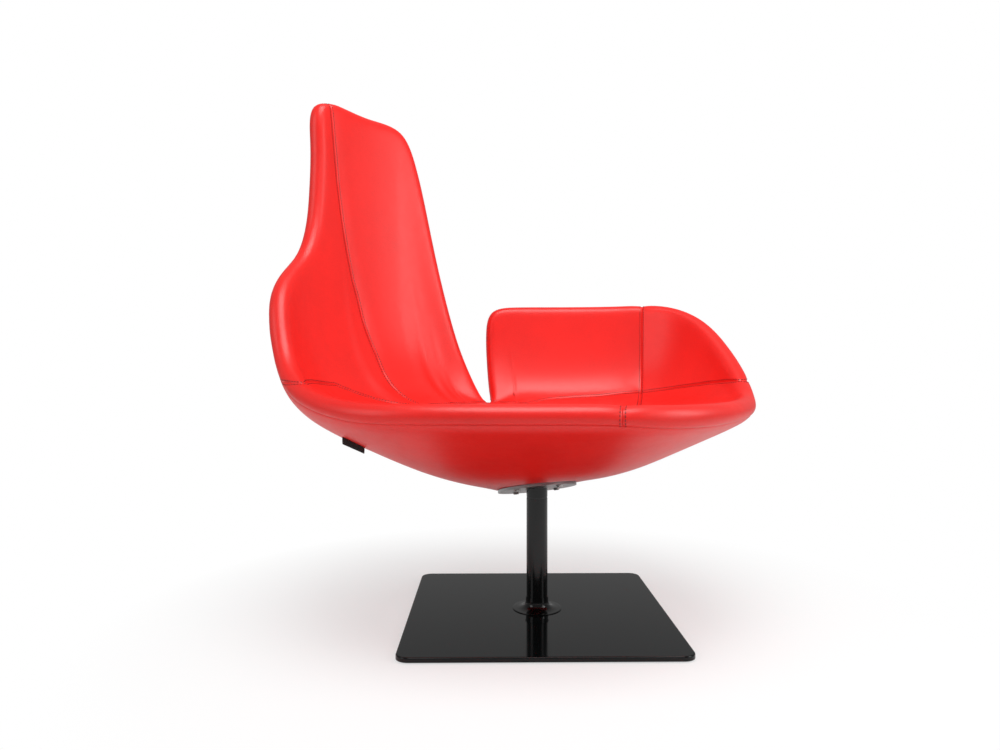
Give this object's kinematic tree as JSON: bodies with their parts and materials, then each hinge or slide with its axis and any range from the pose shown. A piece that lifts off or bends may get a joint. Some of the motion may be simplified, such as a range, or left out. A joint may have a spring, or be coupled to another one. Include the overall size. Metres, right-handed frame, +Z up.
{
  "type": "pedestal swivel armchair",
  "caption": "Low padded lounge chair: a bowl-shaped leather shell with a tall back, one low wrap-round arm and a slit between them, turning on a round column over a square plate.",
  "frame": {"origin": "on the floor, on the swivel axis, at the middle of the base plate", "axes": "+Z is up along the swivel axis, +X points to the sitter's left hand side with the low arm at its far end, -Y is the way the open front faces; the plate's edges run along X and Y"},
  "size_m": [0.9112, 0.7229, 1.0228],
  "materials": {
    "base_lacquer": "high gloss black lacquer",
    "column_lacquer": "black, satin gloss",
    "pad_rubber": "matte",
    "steel": "plain turned steel",
    "bush_plastic": "natural acetal",
    "disc_metal": "grey, satin",
    "frame_paint": "black powder coat",
    "foam": "moulded foam",
    "leather": "red-orange leather with a fine grain and tonal double stitching",
    "tab_fabric": "black woven tab"
  },
  "bodies": {
    "base": {"base_plate": "base_lacquer", "base_pad": "pad_rubber", "base_collar": "base_lacquer", "column_tube": "column_lacquer", "column_foot_plug": "steel", "base_screw": "steel", "lower_bush": "bush_plastic", "upper_bush": "bush_plastic", "thrust_washer": "bush_plastic"},
    "seat": {"spindle": "steel", "swivel_head": "column_lacquer", "retaining_ring": "steel", "mounting_disc": "disc_metal", "disc_screws": "steel", "seat_frame": "frame_paint", "foam_seat": "foam", "foam_arm": "foam", "foam_back": "foam", "seat_cover_front": "leather", "seat_cover_main": "leather", "arm_cover_front": "leather", "arm_cover_rear": "leather", "back_cover_main": "leather", "back_cover_wing": "leather", "outer_cover": "leather", "seam_tab": "tab_fabric"}
  },
  "joints": [
    {"name": "seat_swivel", "type": "hinge", "parent": "base", "child": "seat", "pos_m": [0, 0, 0.221], "axis": [0, 0, 1], "continuous": true}
  ]
}
